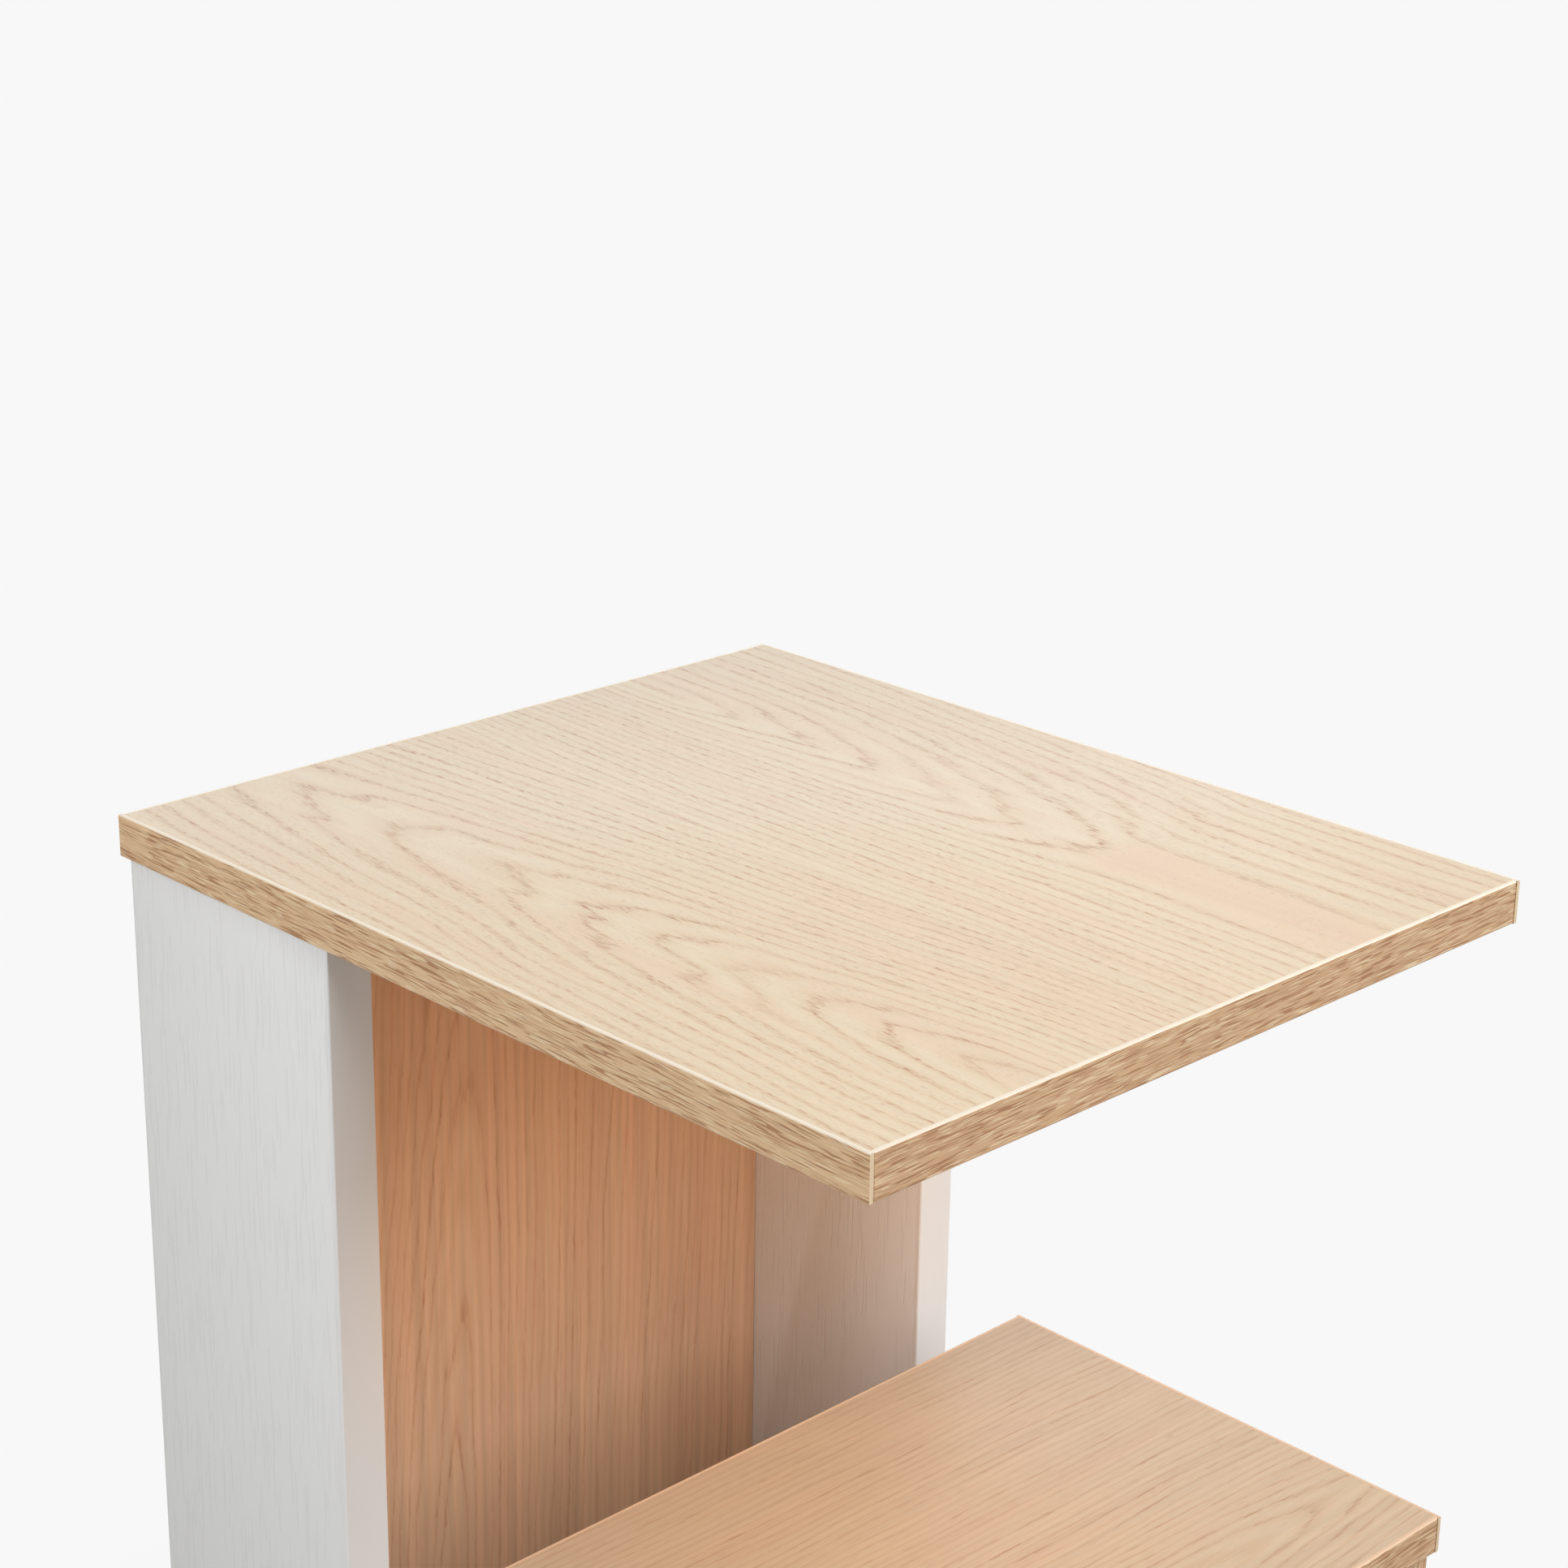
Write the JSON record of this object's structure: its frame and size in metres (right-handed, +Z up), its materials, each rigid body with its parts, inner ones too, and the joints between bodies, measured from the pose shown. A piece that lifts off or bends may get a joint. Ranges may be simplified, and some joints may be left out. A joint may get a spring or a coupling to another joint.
{
  "type": "nesting side tables",
  "caption": "Oak-topped side table on a white rear support with floor runners, with a lower oak side table nested under it that slides out.",
  "frame": {"origin": "on the floor, under the centre of the bounding box of both tables in the nested pose", "axes": "+Z up; +X to the right as seen from the open front; +Y from the open front to the rear support"},
  "size_m": [0.382, 0.4584, 0.6],
  "materials": {
    "oak_laminate": "satin light oak laminate on particle board",
    "oak_edge_band": "satin oak-grain edge band",
    "white_foil": "satin white foil with a faint wood emboss",
    "white_edge_band": "satin white edge band",
    "beech_dowel": "unfinished beech",
    "zinc_steel": "zinc plated",
    "glide_plastic": "grey moulded plastic"
  },
  "bodies": {
    "large_table": {"large_back_panel": "oak_laminate", "large_dowel_front_left": "beech_dowel", "large_dowel_front_right": "beech_dowel", "large_dowel_rear_left": "beech_dowel", "large_dowel_rear_right": "beech_dowel", "large_glide_front_left": "glide_plastic", "large_glide_front_right": "glide_plastic", "large_glide_rear_left": "glide_plastic", "large_glide_rear_right": "glide_plastic", "large_lower_left_bolt": "zinc_steel", "large_lower_left_cam": "zinc_steel", "large_lower_right_bolt": "zinc_steel", "large_lower_right_cam": "zinc_steel", "large_runner_left": "white_foil", "large_runner_right": "white_foil", "large_runner_screw_front_left": "zinc_steel", "large_runner_screw_front_right": "zinc_steel", "large_runner_screw_rear_left": "zinc_steel", "large_runner_screw_rear_right": "zinc_steel", "large_side_band_left": "white_edge_band", "large_side_band_right": "white_edge_band", "large_side_panel_left": "white_foil", "large_side_panel_right": "white_foil", "large_top_band_front": "oak_edge_band", "large_top_band_left": "oak_edge_band", "large_top_band_rear": "oak_edge_band", "large_top_band_right": "oak_edge_band", "large_top_board": "oak_laminate", "large_top_left_bolt": "zinc_steel", "large_top_left_cam": "zinc_steel", "large_top_right_bolt": "zinc_steel", "large_top_right_cam": "zinc_steel", "large_upper_left_bolt": "zinc_steel", "large_upper_left_cam": "zinc_steel", "large_upper_right_bolt": "zinc_steel", "large_upper_right_cam": "zinc_steel"},
    "small_table": {"small_back_panel": "white_foil", "small_dowel_front_left": "beech_dowel", "small_dowel_front_right": "beech_dowel", "small_dowel_rear_left": "beech_dowel", "small_dowel_rear_right": "beech_dowel", "small_glide_front_left": "glide_plastic", "small_glide_front_right": "glide_plastic", "small_glide_rear_left": "glide_plastic", "small_glide_rear_right": "glide_plastic", "small_left_bolt": "zinc_steel", "small_left_cam": "zinc_steel", "small_leg_band_left": "oak_edge_band", "small_leg_band_right": "oak_edge_band", "small_leg_left": "oak_laminate", "small_leg_right": "oak_laminate", "small_right_bolt": "zinc_steel", "small_right_cam": "zinc_steel", "small_top_band_front": "oak_edge_band", "small_top_band_left": "oak_edge_band", "small_top_band_rear": "oak_edge_band", "small_top_band_right": "oak_edge_band", "small_top_board": "oak_laminate", "small_top_bolt": "zinc_steel", "small_top_cam": "zinc_steel"}
  },
  "joints": [
    {"name": "small_table_slide", "type": "slide", "parent": "large_table", "child": "small_table", "axis": [0, -1, 0], "range_m": [-0.18, 0.3]}
  ]
}
